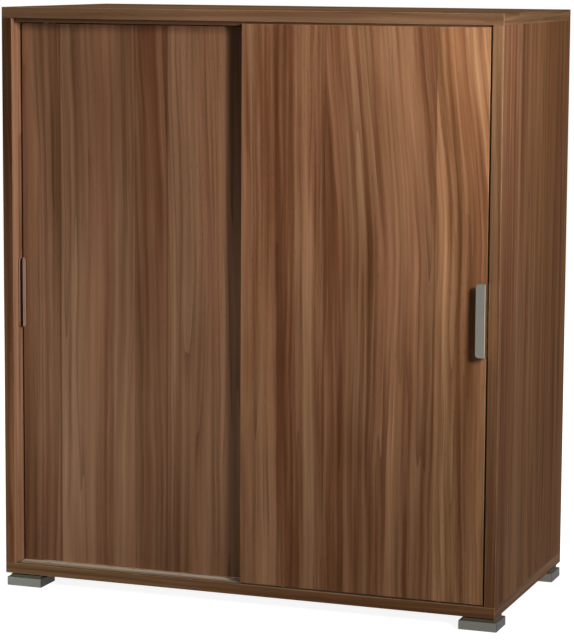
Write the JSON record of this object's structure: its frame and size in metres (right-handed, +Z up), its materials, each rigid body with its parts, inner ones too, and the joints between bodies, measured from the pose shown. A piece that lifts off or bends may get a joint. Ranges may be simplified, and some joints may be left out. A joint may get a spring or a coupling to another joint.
{
  "type": "sliding door cabinet",
  "caption": "Upright walnut cabinet on block feet with overlapping sliding doors, metal edge pulls, rollers on a ribbed track and shelves behind.",
  "frame": {"origin": "centre of the overall bounding box, at floor level", "axes": "+Z up; +X to the viewer's right when facing the doors; +Y to the back"},
  "size_m": [0.906, 0.455, 1.02],
  "materials": {
    "walnut_board": "satin walnut veneer on board",
    "walnut_door": "satin walnut veneer on board",
    "beech": "plain",
    "brushed_steel": "satin",
    "zinc_steel": "zinc plated",
    "track_aluminium": "satin",
    "dark_aluminium": "satin dark anodised",
    "foot_metal": "satin grey",
    "foot_pad_rubber": "matte",
    "black_plastic": "matte",
    "white_nylon": "matte"
  },
  "bodies": {
    "carcass": {"bottom_panel": "walnut_board", "top_panel": "walnut_board", "left_side_panel": "walnut_board", "right_side_panel": "walnut_board", "centre_divider": "walnut_board", "back_panel": "walnut_board", "shelf_left_lower": "walnut_board", "shelf_left_upper": "walnut_board", "shelf_right_lower": "walnut_board", "shelf_right_upper": "walnut_board", "shelf_pins_left_lower": "zinc_steel", "shelf_pins_left_upper": "zinc_steel", "shelf_pins_right_lower": "zinc_steel", "shelf_pins_right_upper": "zinc_steel", "wood_dowels": "beech", "cam_bolts": "zinc_steel", "cam_locks": "zinc_steel", "back_panel_screws": "zinc_steel", "top_track": "dark_aluminium", "top_track_screws": "zinc_steel", "bottom_track": "track_aluminium", "bottom_track_screws": "zinc_steel", "foot_front_left": "foot_metal", "foot_front_right": "foot_metal", "foot_back_left": "foot_metal", "foot_back_right": "foot_metal", "foot_pad_front_left": "foot_pad_rubber", "foot_pad_front_right": "foot_pad_rubber", "foot_pad_back_left": "foot_pad_rubber", "foot_pad_back_right": "foot_pad_rubber", "foot_screws": "zinc_steel"},
    "left_door": {"left_door_panel": "walnut_door", "left_door_roller_housing_left": "black_plastic", "left_door_roller_housing_right": "black_plastic", "left_door_axle_left": "zinc_steel", "left_door_axle_right": "zinc_steel", "left_door_guide_left": "white_nylon", "left_door_guide_right": "white_nylon", "left_door_housing_screws": "zinc_steel", "left_pull": "brushed_steel", "left_pull_screws": "zinc_steel"},
    "right_door": {"right_door_panel": "walnut_door", "right_door_roller_housing_left": "black_plastic", "right_door_roller_housing_right": "black_plastic", "right_door_axle_left": "zinc_steel", "right_door_axle_right": "zinc_steel", "right_door_guide_left": "white_nylon", "right_door_guide_right": "white_nylon", "right_door_housing_screws": "zinc_steel", "right_pull": "brushed_steel", "right_pull_screws": "zinc_steel"},
    "left_door_wheel_left": {"left_door_wheel_left": "white_nylon"},
    "left_door_wheel_right": {"left_door_wheel_right": "white_nylon"},
    "right_door_wheel_left": {"right_door_wheel_left": "white_nylon"},
    "right_door_wheel_right": {"right_door_wheel_right": "white_nylon"}
  },
  "joints": [
    {"name": "left_door_slide", "type": "slide", "parent": "carcass", "child": "left_door", "axis": [1, 0, 0], "range_m": [0, 0.4225]},
    {"name": "right_door_slide", "type": "slide", "parent": "carcass", "child": "right_door", "axis": [-1, 0, 0], "range_m": [0, 0.4225]},
    {"name": "left_door_wheel_left_spin", "type": "hinge", "parent": "left_door", "child": "left_door_wheel_left", "pos_m": [-0.3525, -0.1725, 0.0484], "axis": [0, 1, 0], "range_deg": [-20, 3260]},
    {"name": "left_door_wheel_right_spin", "type": "hinge", "parent": "left_door", "child": "left_door_wheel_right", "pos_m": [-0.076, -0.1725, 0.0484], "axis": [0, 1, 0], "range_deg": [-20, 3260]},
    {"name": "right_door_wheel_left_spin", "type": "hinge", "parent": "right_door", "child": "right_door_wheel_left", "pos_m": [0.07, -0.2025, 0.0484], "axis": [0, -1, 0], "range_deg": [-20, 3260]},
    {"name": "right_door_wheel_right_spin", "type": "hinge", "parent": "right_door", "child": "right_door_wheel_right", "pos_m": [0.3465, -0.2025, 0.0484], "axis": [0, -1, 0], "range_deg": [-20, 3260]}
  ],
  "couplings": [
    {"joint": "left_door_wheel_left_spin", "follows": "left_door_slide", "rad_per_m": 133.33},
    {"joint": "left_door_wheel_right_spin", "follows": "left_door_slide", "rad_per_m": 133.33},
    {"joint": "right_door_wheel_left_spin", "follows": "right_door_slide", "rad_per_m": 133.33},
    {"joint": "right_door_wheel_right_spin", "follows": "right_door_slide", "rad_per_m": 133.33}
  ]
}
